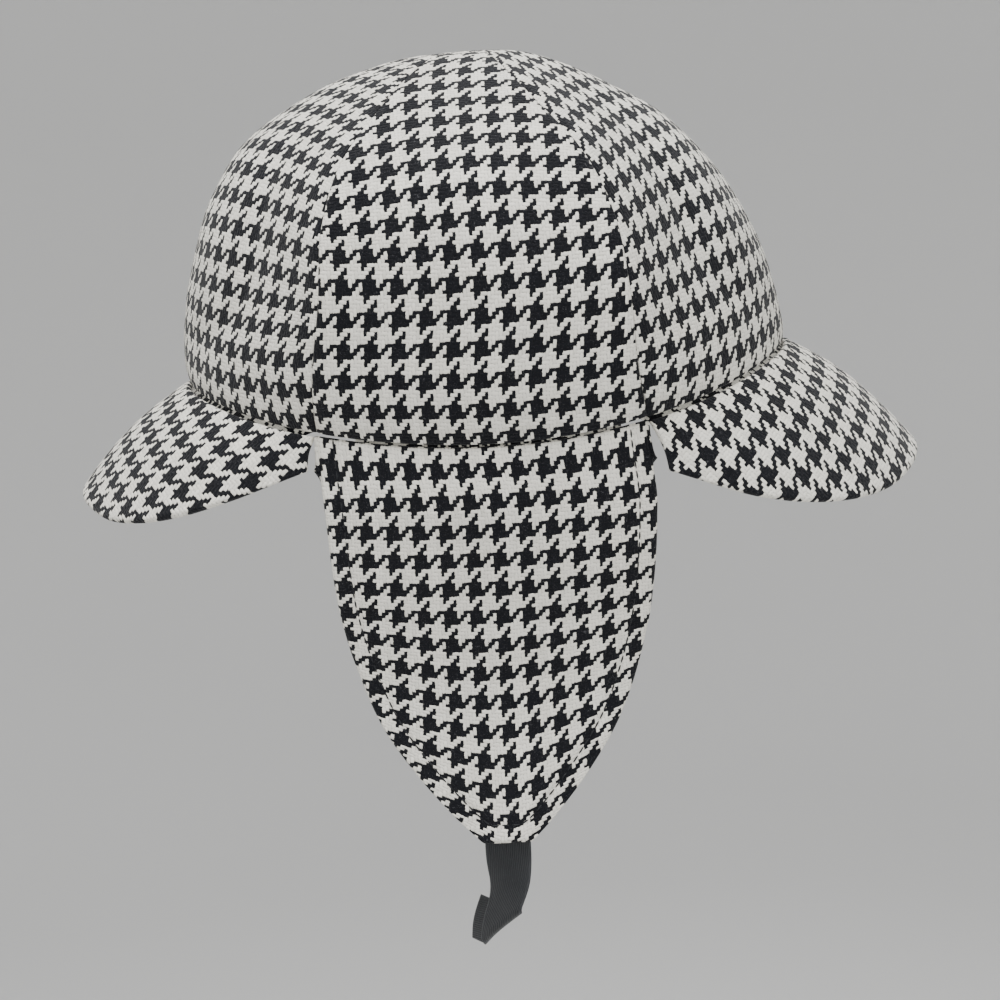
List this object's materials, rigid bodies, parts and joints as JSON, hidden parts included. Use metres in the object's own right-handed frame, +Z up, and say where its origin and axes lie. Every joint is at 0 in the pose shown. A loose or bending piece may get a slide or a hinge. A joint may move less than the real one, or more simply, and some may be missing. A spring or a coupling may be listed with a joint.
{
  "type": "deerstalker hat",
  "caption": "Soft cloth cap with a panelled dome crown, a peak before and behind, and long ear flaps that hang at the sides and end in ribbon ties.",
  "frame": {"origin": "the middle of the head opening, level with the crown's lower edge before and behind, where the head sits", "axes": "+Z up towards the top of the crown, -Y forwards along the front peak, +X to the wearer's left"},
  "size_m": [0.1772, 0.2948, 0.2966],
  "materials": {
    "crown_cloth": "coarse woven wool in a black and ivory houndstooth, matt and slightly hairy",
    "peak_cloth": "the same houndstooth wool over a padded peak",
    "flap_cloth": "the same houndstooth wool, doubled, with a dark row of stitching inside the edge",
    "tie_ribbon": "black ribbed ribbon with a slight sheen"
  },
  "bodies": {
    "root": {"crown_panel_left": "crown_cloth", "crown_panel_right": "crown_cloth", "crown_panel_front_left": "crown_cloth", "crown_panel_front_right": "crown_cloth", "crown_panel_rear_left": "crown_cloth", "crown_panel_rear_right": "crown_cloth", "peak_front": "peak_cloth", "peak_rear": "peak_cloth", "ear_flap_left": "flap_cloth", "ear_flap_right": "flap_cloth", "tie_left": "tie_ribbon", "tie_right": "tie_ribbon"}
  },
  "joints": []
}
